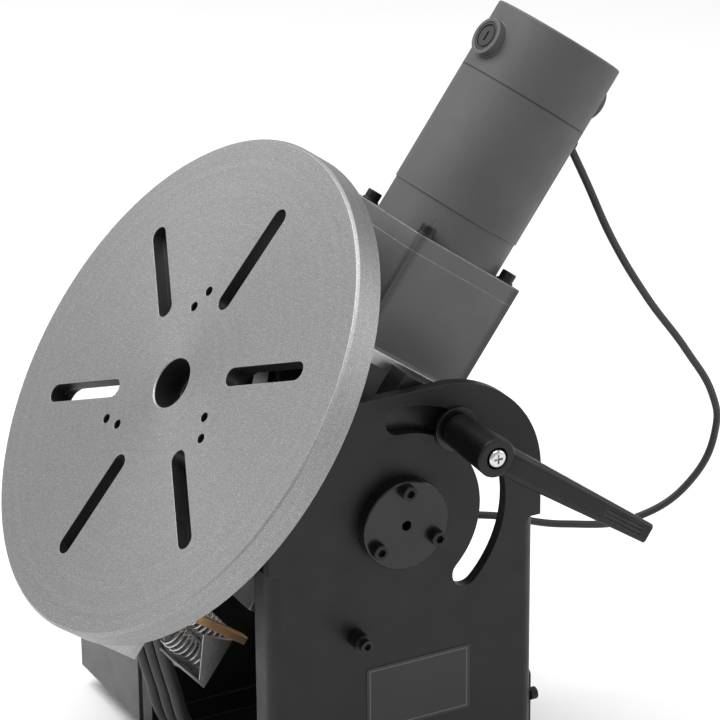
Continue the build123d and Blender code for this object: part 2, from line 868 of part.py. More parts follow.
with BuildPart() as table_disc:
    with BuildSketch(spindle_plane(table_back)):
        Circle(table_radius)
    extrude(amount=table_thickness)
    rims = table_disc.edges().filter_by(GeomType.CIRCLE).sort_by(Axis(tilt_frame.origin, tilt_frame.z_dir))
    chamfer(rims[-1], 1.6)
    chamfer(rims[0], 0.8)
    with BuildSketch(spindle_plane(table_height)):
        Circle(table_bore_radius)
    extrude(amount=-table_thickness, mode=Mode.SUBTRACT)
    chamfer(
        table_disc.edges()
        .filter_by(GeomType.CIRCLE)
        .filter_by(lambda e: abs(e.radius - table_bore_radius) < 0.01)
        .sort_by(Axis(tilt_frame.origin, tilt_frame.z_dir))[-1],
        0.8,
    )
    slot_middle = (slot_inner_radius + slot_outer_radius) / 2
    with BuildSketch(spindle_plane(table_height)):
        with PolarLocations(slot_middle, 6, start_angle=slot_angle):
            SlotCenterToCenter(slot_outer_radius - slot_inner_radius, slot_width)
        for circle_radius, start in chuck_circles:
            with PolarLocations(circle_radius, 3, start_angle=start):
                Circle(chuck_hole_radius)
    extrude(amount=-table_thickness, mode=Mode.SUBTRACT)
    with BuildSketch(spindle_plane(table_back)):
        with PolarLocations(slot_middle, 6, start_angle=slot_angle):
            SlotCenterToCenter(slot_outer_radius - slot_inner_radius, slot_recess_width)
    extrude(amount=slot_recess_depth, mode=Mode.SUBTRACT)
    with BuildSketch(spindle_plane(table_back)):
        with Locations(*disc_screw_places):
            Circle(disc_screw_size / 2 + 0.1)
    extrude(amount=12, mode=Mode.SUBTRACT)
table_disc.part.label = "table_disc"

with BuildPart() as spindle:
    flange_bottom = table_back - spindle_flange_thickness
    with BuildSketch(spindle_plane(flange_bottom)):
        Circle(spindle_flange_radius)
    extrude(amount=spindle_flange_thickness)
    with BuildSketch(spindle_plane(spindle_end)):
        Circle(spindle_radius)
    extrude(amount=flange_bottom - spindle_end)
    with BuildSketch(spindle_plane(table_back)):
        Circle(spindle_bore_radius)
    extrude(amount=-(table_back - spindle_end), mode=Mode.SUBTRACT)
    with BuildSketch(spindle_plane(table_back)):
        with Locations(*disc_screw_places):
            Circle(disc_screw_size / 2 + 0.2)
        for circle_radius, start in chuck_circles[:1]:
            with PolarLocations(circle_radius, 3, start_angle=start):
                Circle(chuck_hole_radius + 0.6)
    extrude(amount=-spindle_flange_thickness, mode=Mode.SUBTRACT)
spindle.part.label = "spindle"

back_face = Plane(
    origin=tilt_frame.from_local_coords(Vector(0, 0, table_back - spindle_flange_thickness)),
    x_dir=(1, 0, 0),
    z_dir=-tilt_frame.z_dir,
)
disc_screws = cap_screws(back_face, [(x, -y) for x, y in disc_screw_places], disc_screw_size, 22)
disc_screws.part.label = "disc_screws"

with BuildPart() as spindle_nut:
    nut_top = motor_offset - 24.2
    with BuildSketch(spindle_plane(nut_top)):
        Circle(33)
        Circle(spindle_radius + 0.02, mode=Mode.SUBTRACT)
        with PolarLocations(33, 4):
            Rectangle(8, 7, mode=Mode.SUBTRACT)
    extrude(amount=-10)
spindle_nut.part.label = "spindle_nut"

wheel_apex = Plane(
    origin=tilt_frame.from_local_coords(Vector(0, 0, motor_offset)),
    x_dir=(1, 0, 0),
    z_dir=-tilt_frame.z_dir,
)
bevel_wheel = bevel_gear(
    wheel_apex, wheel_teeth, pinion_teeth, spindle_radius + 0.02, 24, 180 / wheel_teeth
)
bevel_wheel.part.label = "bevel_wheel"

# ---- Gearhead ---------------------------------------------------------------------------------

centre_distance = spur_module * (pinion_teeth + wheel_teeth) / 2
gear_space = 180 / wheel_teeth

bevel_pinion = bevel_gear(motor_plane(0), pinion_teeth, wheel_teeth, output_shaft_radius - 1, 56, 90)
bevel_pinion.part.label = "bevel_pinion"

output_bearing_bottom = gearbox_bottom + 5
countershaft_foot = gearbox_bottom + 5
bearing_seat_radius = 11
motor_bearing_low = gearbox_top + 6
motor_bearing_high = motor_top - motor_wall - 8
motor_bearing_radius = 11

with BuildPart() as output_shaft:
    with BuildSketch(motor_plane(output_shaft_end)):
        Circle(output_shaft_radius - 1.02)
    extrude(amount=25)
    with BuildSketch(motor_plane(57)):
        Circle(output_shaft_radius)
    extrude(amount=output_gear_bottom + spur_width + 3 - 57)
    output_level = motor_plane(output_gear_bottom)
    add(spur_gear(output_level, wheel_teeth, spur_width, output_shaft_radius - 0.5, gear_space).part)
output_shaft.part.label = "output_shaft"

with BuildPart() as gearbox_casing:
    with BuildSketch(motor_plane(gearbox_bottom)):
        Rectangle(gearbox_width, gearbox_width)
    extrude(amount=gearbox_flange_bottom - gearbox_bottom)
    with BuildSketch(motor_plane(output_bearing_bottom + 8)):
        Rectangle(gearbox_width - 2 * gearbox_wall, gearbox_width - 2 * gearbox_wall)
        with Locations(*gearbox_corners):
            Rectangle(15, 15, mode=Mode.SUBTRACT)
    extrude(amount=gearbox_flange_bottom - output_bearing_bottom - 8, mode=Mode.SUBTRACT)
    with BuildSketch(motor_plane(output_bearing_bottom)):
        Circle(bearing_seat_radius + 0.02)
        with Locations((centre_distance, 0)):
            Circle(8.02)
    extrude(amount=8, mode=Mode.SUBTRACT)
    with BuildSketch(motor_plane(gearbox_bottom)):
        Circle(output_shaft_radius + 1)
    extrude(amount=10, mode=Mode.SUBTRACT)
    with BuildSketch(motor_plane(gearbox_bottom)):
        with Locations(*gearbox_corners):
            Circle(gearbox_screw_size / 2 + 0.1)
    extrude(amount=gearbox_flange_bottom - gearbox_bottom, mode=Mode.SUBTRACT)
gearbox_casing.part.label = "gearbox_casing"

with BuildPart() as gearbox_flange:
    with BuildSketch(motor_plane(gearbox_flange_bottom)):
        Rectangle(gearbox_width, gearbox_width)
        with Locations(*gearbox_corners):
            Circle(gearbox_screw_size / 2 + 0.1, mode=Mode.SUBTRACT)
        Circle(8, mode=Mode.SUBTRACT)
    extrude(amount=gearbox_top - gearbox_flange_bottom)
    with BuildSketch(motor_plane(gearbox_flange_bottom)):
        with Locations((centre_distance, 0)):
            Circle(8.02)
    extrude(amount=5, mode=Mode.SUBTRACT)
    chamfer(gearbox_flange.faces().sort_by(motor_axis)[-1].outer_wire().edges(), 0.6)
gearbox_flange.part.label = "gearbox_flange"

with BuildPart() as gearbox_screws:
    with BuildSketch(motor_plane(gearbox_top)):
        with Locations(*gearbox_corners):
            Circle(6)
            Circle(gearbox_screw_size / 2 + 0.1, mode=Mode.SUBTRACT)
    extrude(amount=1.2)
    screw_length = gearbox_top + 1.2 - plate_low - 1
    add(cap_screws(motor_plane(gearbox_top + 1.2), gearbox_corners, gearbox_screw_size, screw_length).part)
gearbox_screws.part.label = "gearbox_screws"

with BuildPart() as drive_bearings:
    add(
        bearing(
            motor_plane(output_bearing_bottom),
            output_shaft_radius + running_clearance,
            bearing_seat_radius,
            7,
            7,
        ).part
    )
    shift = Vector(centre_distance, 0, 0)
    for height in (output_bearing_bottom, gearbox_flange_bottom + 0.2):
        level = motor_plane(height)
        across = Plane(origin=level.origin + shift, x_dir=level.x_dir, z_dir=level.z_dir)
        add(bearing(across, countershaft_radius + running_clearance, 8, 4.6, 7).part)
    for height in (motor_bearing_low, motor_bearing_high):
        bore = armature_shaft_radius + running_clearance
        add(bearing(motor_plane(height), bore, motor_bearing_radius, 7, 7).part)
drive_bearings.part.label = "drive_bearings"

with BuildPart() as countershaft:
    counter_end = gearbox_flange_bottom + 4.6
    counter_level = motor_plane(countershaft_foot)
    counter_plane = Plane(
        origin=counter_level.origin + shift, x_dir=counter_level.x_dir, z_dir=counter_level.z_dir
    )
    with BuildSketch(counter_plane):
        Circle(countershaft_radius)
    extrude(amount=counter_end - countershaft_foot)
    pinion_level = counter_plane.offset(output_gear_bottom - 1 - countershaft_foot)
    add(spur_gear(pinion_level, pinion_teeth, spur_width + 2, countershaft_radius - 0.6, 0).part)
    wheel_level = counter_plane.offset(armature_pinion_bottom + 1 - countershaft_foot)
    add(spur_gear(wheel_level, wheel_teeth, spur_width - 1, countershaft_radius - 0.6, gear_space).part)
countershaft.part.label = "countershaft"

# ---- Motor ------------------------------------------------------------------------------------

with BuildPart() as motor_adapter:
    with BuildSketch(motor_plane(gearbox_top)):
        Circle(adapter_radius)
    extrude(amount=adapter_top - gearbox_top)
    with BuildSketch(motor_plane(adapter_top)):
        Circle(adapter_radius - motor_wall)
    extrude(amount=-(adapter_top - gearbox_top - 14), mode=Mode.SUBTRACT)
    with BuildSketch(motor_plane(gearbox_top)):
        Circle(armature_shaft_radius + 1)
    extrude(amount=14, mode=Mode.SUBTRACT)
    with BuildSketch(motor_plane(motor_bearing_low)):
        Circle(motor_bearing_radius + 0.02)
    extrude(amount=8, mode=Mode.SUBTRACT)
    # Scallops that clear the four corner screws
    with BuildSketch(motor_plane(gearbox_top)):
        with Locations(*gearbox_corners):
            Circle(7.5)
    extrude(amount=12, mode=Mode.SUBTRACT)
motor_adapter.part.label = "motor_adapter"

with BuildPart() as motor_yoke:
    with BuildSketch(motor_plane(adapter_top)):
        Circle(motor_radius)
        Circle(motor_radius - motor_wall, mode=Mode.SUBTRACT)
    extrude(amount=yoke_top - adapter_top)
motor_yoke.part.label = "motor_yoke"

brush_axis_plane = Plane(
    origin=tilt_frame.from_local_coords(Vector(0, brush_cap_height, motor_offset)),
    x_dir=(1, 0, 0),
    z_dir=tilt_frame.z_dir,
)

with BuildPart() as motor_end_cap:
    with BuildSketch(motor_plane(yoke_top)):
        Circle(motor_radius)
    extrude(amount=motor_top - yoke_top)
    chamfer(
        motor_end_cap.edges().filter_by(GeomType.CIRCLE).sort_by(motor_axis)[-1],
        0.8,
    )
    with BuildSketch(brush_axis_plane.offset(-motor_radius - brush_boss_proud)):
        Circle(brush_boss_radius)
    extrude(amount=2 * (motor_radius + brush_boss_proud))
    with BuildSketch(motor_plane(yoke_top)):
        Circle(motor_radius - motor_wall)
    extrude(amount=motor_top - motor_wall - yoke_top, mode=Mode.SUBTRACT)
    with BuildSketch(brush_axis_plane.offset(-motor_radius - brush_boss_proud)):
        Circle(brush_stem_radius + 0.1)
    extrude(amount=2 * (motor_radius + brush_boss_proud), mode=Mode.SUBTRACT)
    for side in (-1, 1):
        with BuildSketch(brush_axis_plane.offset(side * (motor_radius + brush_seat_proud))):
            Circle(brush_cap_radius + 0.1)
        extrude(amount=side * (brush_boss_proud - brush_seat_proud), mode=Mode.SUBTRACT)
    with BuildSketch(motor_plane(motor_top - motor_wall)):
        Circle(motor_bearing_radius + 3)
        Circle(motor_bearing_radius + 0.02, mode=Mode.SUBTRACT)
    extrude(amount=-8)
motor_end_cap.part.label = "motor_end_cap"

with BuildPart() as brush_caps:
    for side in (-1, 1):
        seat = side * (motor_radius + brush_seat_proud + 0.01)
        face = side * (motor_radius + brush_cap_proud)
        with BuildSketch(brush_axis_plane.offset(seat)):
            Circle(brush_cap_radius)
        extrude(amount=face - seat)
        with BuildSketch(brush_axis_plane.offset(seat)):
            Circle(brush_stem_radius)
        extrude(amount=-side * 8)
        with BuildSketch(brush_axis_plane.offset(face)):
            Circle(brush_cap_radius - 2)
            Circle(brush_cap_radius - 3.2, mode=Mode.SUBTRACT)
            Rectangle(1.8, 7)
        extrude(amount=-side * 1.2, mode=Mode.SUBTRACT)
brush_caps.part.label = "brush_caps"

with BuildPart() as carbon_brushes:
    for side in (-1, 1):
        with BuildSketch(brush_axis_plane.offset(side * (commutator_radius + 0.1))):
            Rectangle(8, 12)
        extrude(amount=side * 24)
carbon_brushes.part.label = "carbon_brushes"

magnet_outer = motor_radius - motor_wall - 0.1
with BuildPart() as motor_magnets:
    with BuildSketch(motor_plane(adapter_top + 8)):
        Circle(magnet_outer)
        Circle(magnet_outer - 9, mode=Mode.SUBTRACT)
        Rectangle(18, 2 * motor_radius, mode=Mode.SUBTRACT)
    extrude(amount=yoke_top - adapter_top - 18)
motor_magnets.part.label = "motor_magnets"

with BuildPart() as motor_armature:
    with BuildSketch(motor_plane(armature_pinion_bottom)):
        Circle(armature_shaft_radius)
    extrude(amount=motor_top - motor_wall - 1 - armature_pinion_bottom)
    add(spur_gear(motor_plane(armature_pinion_bottom), pinion_teeth, spur_width + 1, 3, 0).part)
    with BuildSketch(motor_plane(adapter_top + 10)):
        Circle(32)
        with PolarLocations(32, 14):
            Rectangle(12, 3.4, mode=Mode.SUBTRACT)
    extrude(amount=yoke_top - adapter_top - 22)
    with BuildSketch(motor_plane(brush_cap_height - 11)):
        Circle(commutator_radius)
    extrude(amount=20)
motor_armature.part.label = "motor_armature"

# ---- Clamp lever ------------------------------------------------------------------------------

stud_axis = cradle_plane(0).from_local_coords(Vector(clamp_radius, 0, 0))


def stud_plane(x):
    """Across the clamp stud: local x is Y, local y is Z."""
    return Plane(origin=(x, stud_axis.Y, stud_axis.Z), x_dir=(0, 1, 0), z_dir=(1, 0, 0))


with BuildPart() as clamp_stud:
    with BuildSketch(stud_plane(arm_inner)):
        Circle(stud_radius)
    extrude(amount=insert_end - 12 - arm_inner)
clamp_stud.part.label = "clamp_stud"

with BuildPart() as clamp_washer:
    with BuildSketch(stud_plane(plate_outer + 0.05)):
        Circle(washer_radius)
        Circle(stud_radius + 0.2, mode=Mode.SUBTRACT)
    extrude(amount=washer_thickness)
clamp_washer.part.label = "clamp_washer"

lever_web_start = insert_end + 0.5
lever_screw_head = lever_web_start + lever_web + lever_travel + 0.2

with BuildPart() as lever_insert:
    with BuildSketch(stud_plane(insert_start)):
        Circle(insert_radius)
    extrude(amount=insert_end - insert_start)
    with BuildSketch(stud_plane(insert_start)):
        Circle(stud_radius + running_clearance)
    extrude(amount=insert_end - 10 - insert_start, mode=Mode.SUBTRACT)
    with BuildSketch(stud_plane(insert_end)):
        Circle(2.5)
    extrude(amount=-8, mode=Mode.SUBTRACT)
lever_insert.part.label = "lever_insert"

with BuildPart() as lever_screw:
    with BuildSketch(stud_plane(insert_end - 7)):
        Circle(2.48)
    extrude(amount=lever_screw_head - insert_end + 7)
    with BuildSketch(stud_plane(lever_screw_head)):
        Circle(6.2)
    extrude(amount=3.6)
    head_edge = lever_screw.edges().filter_by(GeomType.CIRCLE).sort_by(Axis.X)[-1]
    fillet(head_edge, 2.4)
    with BuildSketch(stud_plane(lever_screw_head + 3.6)):
        Rectangle(6.4, 1.3)
        Rectangle(1.3, 6.4)
    extrude(amount=-2.2, taper=8, mode=Mode.SUBTRACT)
lever_screw.part.label = "lever_screw"

lever_reach = sqrt(lever_length**2 - lever_lean**2)
lever_tip = polar(lever_reach, lever_angle)
lever_root = polar(6, lever_angle)
root_x = lever_end - lever_head_radius + 1
lever_path_start = Vector(root_x, stud_axis.Y + lever_root[0], stud_axis.Z + lever_root[1])
lever_path_end = Vector(root_x + lever_lean, stud_axis.Y + lever_tip[0], stud_axis.Z + lever_tip[1])
lever_direction = (lever_path_end - lever_path_start).normalized()
root_plane = Plane(origin=lever_path_start, x_dir=(1, 0, 0), z_dir=lever_direction)
tip_plane = Plane(origin=lever_path_end, x_dir=(1, 0, 0), z_dir=lever_direction)
# Grooves on the outer face, near the tip
face_end = tip_plane.origin + tip_plane.x_dir * (lever_tip_size[0] / 2)
face_start = root_plane.origin + root_plane.x_dir * (lever_root_size[0] / 2)
face_slope = (face_start - face_end).normalized()
groove_plane = Plane(
    origin=face_end + face_slope * 21,
    x_dir=face_slope,
    z_dir=face_slope.cross(tip_plane.y_dir),
)

with BuildPart() as lever_handle:
    with BuildSketch(stud_plane(lever_start)):
        Circle(lever_base_radius)
    with BuildSketch(stud_plane(lever_end)):
        Circle(lever_head_radius)
    loft()
    chamfer(lever_handle.edges().filter_by(GeomType.CIRCLE).sort_by(Axis.X)[-1], 1.2)
    with BuildSketch(root_plane):
        RectangleRounded(*lever_root_size, 5)
    with BuildSketch(tip_plane):
        RectangleRounded(*lever_tip_size, 3)
    loft()
    with BuildSketch(groove_plane):
        with GridLocations(0, 2.8, 1, 3):
            SlotOverall(*lever_groove_size)
    extrude(amount=-lever_groove_depth, mode=Mode.SUBTRACT)
    with BuildSketch(stud_plane(lever_start)):
        Circle(insert_radius + running_clearance)
    extrude(amount=lever_web_start - lever_start, mode=Mode.SUBTRACT)
    with BuildSketch(stud_plane(lever_web_start)):
        Circle(2.6)
    extrude(amount=lever_web, mode=Mode.SUBTRACT)
    with BuildSketch(stud_plane(lever_web_start + lever_web)):
        Circle(lever_recess_radius)
    extrude(amount=lever_end - lever_web_start, mode=Mode.SUBTRACT)
lever_handle.part.label = "lever_handle"

spring_length = lever_screw_head - lever_web_start - lever_web - 1.4
with BuildPart() as lever_coil:
    with BuildLine() as spring_line:
        Helix(pitch=spring_length / 3, height=spring_length, radius=4.4)
    with BuildSketch(Plane(origin=spring_line.line @ 0, z_dir=spring_line.line % 0)):
        Circle(0.6)
    sweep(path=spring_line.line, is_frenet=True)

with BuildPart() as lever_spring:
    add(lever_coil.part.moved(stud_plane(lever_web_start + lever_web + 0.7).location))
lever_spring.part.label = "lever_spring"

# ---- Ground brush -----------------------------------------------------------------------------

holder_width = 23.2
spring_radius = 8.6
spring_wire = 0.8
spring_length_along = 38
spring_rows = (-156.5, -136.5)
spring_lean = radians(15)

with BuildPart() as brush_arm:
    with BuildSketch(cradle_plane(0)):
        with BuildLine():
            Polyline((-79, web_front), (-79, 60), (-100, 100), (-150, 106), (brush_arm_bottom, 106),
                     (brush_arm_bottom, 49), (-110, 49), (-97, web_front), close=True)
        make_face()
    extrude(amount=-brush_arm_thickness)
    with BuildSketch(spindle_plane(web_front)):
        with Locations((14, -88)):
            Rectangle(34, 20)
        with Locations(*brush_screw_places):
            Circle(2.7, mode=Mode.SUBTRACT)
    extrude(amount=brush_arm_thickness)
    # Spring holder: gusset, back plate, sloping lip and strap
    with BuildSketch(cradle_plane(holder_width - 2)):
        with BuildLine():
            Polyline((-133, 5), (-138, 28), (-169, 11), (-169, 5), close=True)
        make_face()
    extrude(amount=2)
    with BuildSketch(spindle_plane(5)):
        with Locations((holder_width / 2, -151)):
            Rectangle(holder_width, 36)
    extrude(amount=2)
    with BuildSketch(cradle_plane(0)):
        with BuildLine():
            Polyline((-169, 5), (-162, 36), (-163.5, 36.4), (-170.6, 5), close=True)
        make_face()
    extrude(amount=holder_width)
    # Strap up to the arm
    with BuildSketch(cradle_plane(0)):
        with BuildLine():
            Polyline((-133, 5), (-133, 60), (-145, 60), (-169, 20), (-169, 5), close=True)
        make_face()
    extrude(amount=2)
brush_arm.part.label = "brush_arm"



def spring_plane(row):
    """Foot of a brush spring at a height along m, leaning up towards the disc."""
    return Plane(
        origin=tilt_frame.from_local_coords(Vector(holder_width / 2, row, 10)),
        x_dir=(1, 0, 0),
        z_dir=tilt_frame.z_dir * cos(spring_lean) + tilt_frame.y_dir * sin(spring_lean),
    )


with BuildPart() as one_spring:
    with BuildLine() as coil:
        Helix(pitch=4.4, height=spring_length_along, radius=spring_radius)
    with BuildSketch(Plane(origin=coil.line @ 0, z_dir=coil.line % 0)):
        Circle(spring_wire)
    sweep(path=coil.line, is_frenet=True)

with BuildPart() as brush_springs:
    for row in spring_rows:
        add(one_spring.part.moved(spring_plane(row).location))
brush_springs.part.label = "brush_springs"

with BuildPart() as ground_brush:
    with BuildSketch(spindle_plane(50)):
        with Locations((14, -136)):
            Rectangle(22, 24)
    extrude(amount=table_back - 50.1)
ground_brush.part.label = "ground_brush"

with BuildPart() as copper_bar:
    with BuildSketch(spindle_plane(3)):
        with Locations((26 + copper_bar_size[0] / 2, -128)):
            Rectangle(*copper_bar_size)
    extrude(amount=55)
copper_bar.part.label = "copper_bar"

# ---- Cables -----------------------------------------------------------------------------------


def cable(points, radius):
    """Round cable along a smooth path. Points are in the row frame, with Z from the tilt axis."""
    raised = [(x, y, z + axis_height) for x, y, z in points]
    with BuildPart() as made:
        with BuildLine() as path:
            Spline(*raised)
        with BuildSketch(Plane(origin=path.line @ 0, z_dir=path.line % 0)):
            Circle(radius)
        sweep(path=path.line)
    return made


gland_place = tilt_frame.from_local_coords(Vector(0, 268, motor_offset - motor_radius))
motor_cable_points = [
    (0, gland_place.Y + 11 * sin(tilt), gland_place.Z - axis_height - 11 * cos(tilt)),
    (6, 221, 121),
    (6, 250, 72),
    (4, 286, 23),
    (4, 309, -16),
    (2, 314, -41),
    (0, 298, -78),
    (-12, 260, -106),
    (-25, 205, -105),
    (-40, 151, -92),
    (-72, 85, -92),
    (-95, 30, -104),
]
motor_cable = cable(motor_cable_points, cable_radius)
motor_cable.part.label = "motor_cable"

with BuildPart() as cable_gland:
    gland_axis = Plane(
        origin=tilt_frame.from_local_coords(Vector(0, 268, motor_offset - motor_radius - 0.05)),
        x_dir=(1, 0, 0),
        z_dir=-tilt_frame.z_dir,
    )
    with BuildSketch(gland_axis):
        Circle(6)
    extrude(amount=9, taper=8)
cable_gland.part.label = "cable_gland"

with BuildPart() as ground_cables:
    for step in range(3):
        x = -8.5 - 9.7 * step
        y = -4 * step
        add(
            cable(
                [(x, y - 126, -88), (x, y - 119, -120), (x, y - 112, -147), (x, y - 103, -178),
                 (x, y - 84, -203), (x, -56, -217), (x, -36, -219)],
                ground_cable_radius,
            ).part
        )
ground_cables.part.label = "ground_cables"

with BuildPart() as terminal_block:
    with BuildSketch(Plane.XY.offset(base_thickness)):
        with Locations((-19, -22)):
            Rectangle(44, 24)
    extrude(amount=34)
terminal_block.part.label = "terminal_block"

# ---- Export -----------------------------------------------------------------------------------

pieces = (
    base_plate, floor_angles, side_plate_right, side_plate_left, rear_panel, frame_screws,
    trunnions, trunnion_screws, side_screw, rating_label, control_box, control_box_cover,
    cover_screws, speed_knob, switch_bezels, direction_rocker, power_rocker, box_sockets,
    speed_controller, cradle_arm_right, cradle_arm_left, cradle_plate, cradle_web, cradle_screws,
    trunnion_bushes, spindle_housing, spindle_bearings, table_disc, spindle, disc_screws,
    spindle_nut, bevel_wheel, bevel_pinion, output_shaft, gearbox_casing, gearbox_flange,
    gearbox_screws, drive_bearings, countershaft, motor_adapter, motor_yoke, motor_end_cap,
    brush_caps, carbon_brushes, motor_magnets, motor_armature, clamp_stud, clamp_washer,
    lever_insert, lever_screw, lever_handle, lever_spring, brush_arm, brush_springs,
    ground_brush, copper_bar, motor_cable, cable_gland, ground_cables, terminal_block,
)

os.makedirs("parts", exist_ok=True)
for piece in pieces:
    export_step(piece.part, f"parts/{piece.part.label}.step")
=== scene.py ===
import bpy
from math import cos, pi, radians, sin
from mathutils import Matrix, Vector


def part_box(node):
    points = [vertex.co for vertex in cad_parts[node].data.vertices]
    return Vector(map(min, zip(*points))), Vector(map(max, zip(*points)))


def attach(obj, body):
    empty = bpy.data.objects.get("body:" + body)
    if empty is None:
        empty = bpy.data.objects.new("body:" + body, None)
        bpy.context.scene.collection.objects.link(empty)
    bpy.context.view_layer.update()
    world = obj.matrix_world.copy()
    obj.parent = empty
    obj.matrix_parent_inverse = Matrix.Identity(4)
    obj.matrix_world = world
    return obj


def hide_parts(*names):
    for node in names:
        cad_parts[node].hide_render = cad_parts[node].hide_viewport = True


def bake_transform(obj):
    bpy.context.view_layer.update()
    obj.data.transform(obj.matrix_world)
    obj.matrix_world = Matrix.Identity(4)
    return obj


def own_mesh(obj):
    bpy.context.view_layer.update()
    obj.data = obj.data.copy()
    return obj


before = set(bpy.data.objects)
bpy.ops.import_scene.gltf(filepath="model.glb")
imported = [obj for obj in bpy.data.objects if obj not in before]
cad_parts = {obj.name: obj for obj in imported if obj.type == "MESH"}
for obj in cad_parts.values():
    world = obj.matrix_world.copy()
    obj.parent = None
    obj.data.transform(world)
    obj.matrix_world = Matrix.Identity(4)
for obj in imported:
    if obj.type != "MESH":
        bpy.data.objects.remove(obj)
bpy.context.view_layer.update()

# ---- Places shared by everything, in metres -----------------------------------------------------

TILT_CENTRE = Vector((0, 0, 0.24))
TILT = radians(54)
OUT = Vector((0, -sin(TILT), cos(TILT)))  # out of the faceplate
UP_MOTOR = Vector((0, cos(TILT), sin(TILT)))  # along the motor
ACROSS = Vector((1, 0, 0))
FACE_HEIGHT = 0.137  # faceplate's front, from the tilt axis
SLOTTED_RADIUS = 0.165  # everything inside it that faces sideways is a slot or a hole

# ---- Motor and gearhead, in metres --------------------------------------------------------------

MOTOR_OFFSET = 0.013
MOTOR_RADIUS = 0.0465
SEAM_HEIGHT = 0.277
SEAM_HALF = 0.0006
GEARHEAD_HALF = 0.046
# Band widths of the painted dark reflection along the gearhead's long corners.
CORNER_REFLECTION_WIDE = 0.007
CORNER_REFLECTION_NARROW = 0.003
GLAND_HEIGHT = 0.268
GLAND_PROUD = 0.008
GLAND_DEPTH = 0.004

# ---- Lever, label, cables and dial, in metres ---------------------------------------------------

HUB_OUTER = 0.024
HUB_INNER = 0.013
COIL_RADIUS = 0.0044
COIL_WIRE = 0.0006
COIL_TURNS = 3
COIL_STEPS = 12
LABEL_MARGIN = 0.0025
LABEL_LINE = 0.0004
MOTOR_CABLE_RADIUS = 0.0027
GROUND_CABLE_RADIUS = 0.0046
GROUND_CABLE_START = -8.5  # mm
GROUND_CABLE_STEP = (-9.7, -4)  # mm
DIAL_CENTRE = Vector((-0.2068, -0.010, 0.1545))
DIAL_PRINT_X = -0.20705
DIAL_START = radians(-135)
DIAL_STEP = radians(27)
DIAL_STEPS = 11
TICK_OUTER = 0.0195
TICK_INNER = 0.0165
LONG_TICK_INNER = 0.0155
TICK_HALF = 0.0004
TICK_THICKNESS = 0.0002

# ---- Floor, camera and light, in metres and radians ---------------------------------------------

FLOOR_HALF = 8
FLOOR_HEIGHT = -0.0005
AZIMUTH = 1.0845
ELEVATION = 0.4009
ROLL = -0.0083
LENS = 182.5  # mm
CAMERA_RIGHT = 0.1227
CAMERA_UP = 0.0146
CAMERA_BACK = 2.3762
LIGHT_TARGET = Vector((0, 0.05, 0.25))


# ---- Material nodes -----------------------------------------------------------------------------


class Nodes:
    """A material's node tree with short calls to add and join nodes."""

    def __init__(self, name):
        self.material = bpy.data.materials.new(name)
        self.material.use_nodes = True
        self.tree = self.material.node_tree
        self.surface = self.tree.nodes["Principled BSDF"]
        self.place = self.add("ShaderNodeTexCoord").outputs["Object"]

    def add(self, kind, *inputs, **settings):
        made = self.tree.nodes.new(kind)
        for key, value in settings.items():
            setattr(made, key, value)
        for slot, value in enumerate(inputs):
            self.put(made.inputs[slot], value)
        return made

    def put(self, socket, value):
        if value is None:
            return
        if isinstance(value, bpy.types.NodeSocket):
            self.tree.links.new(value, socket)
        else:
            socket.default_value = value

    def set(self, **values):
        for key, value in values.items():
            self.put(self.surface.inputs[key.replace("_", " ")], value)

    def maths(self, operation, *inputs, clamp=False):
        return self.add("ShaderNodeMath", *inputs, operation=operation, use_clamp=clamp).outputs[0]

    def vector(self, operation, *inputs):
        made = self.add("ShaderNodeVectorMath", *inputs, operation=operation)
        return made.outputs["Value" if operation in ("LENGTH", "DOT_PRODUCT") else "Vector"]

    def noise(self, scale, detail=3, roughness=0.55, stretch=(1, 1, 1)):
        place = self.place
        if stretch != (1, 1, 1):
            place = self.vector("MULTIPLY", place, stretch)
        made = self.add("ShaderNodeTexNoise")
        self.put(made.inputs["Vector"], place)
        self.put(made.inputs["Scale"], scale)
        self.put(made.inputs["Detail"], detail)
        self.put(made.inputs["Roughness"], roughness)
        return made.outputs[0]

    def spread(self, value, low, high, new_low=0.0, new_high=1.0):
        return self.add("ShaderNodeMapRange", value, low, high, new_low, new_high).outputs[0]

    def mix(self, share, first, second):
        made = self.add("ShaderNodeMix", data_type="RGBA")
        self.put(made.inputs[0], share)
        self.put(made.inputs[6], first)
        self.put(made.inputs[7], second)
        return made.outputs[2]

    def edges(self, radius):
        """Rounded normal, and a mask that is 1 along sharp edges."""
        rounded = self.add("ShaderNodeBevel", radius, samples=4).outputs[0]
        flat = self.add("ShaderNodeNewGeometry").outputs["Normal"]
        return rounded, self.spread(self.vector("DOT_PRODUCT", rounded, flat), 0.995, 0.90)


def grey(value, tint=(1, 1, 1)):
    return (value * tint[0], value * tint[1], value * tint[2], 1)


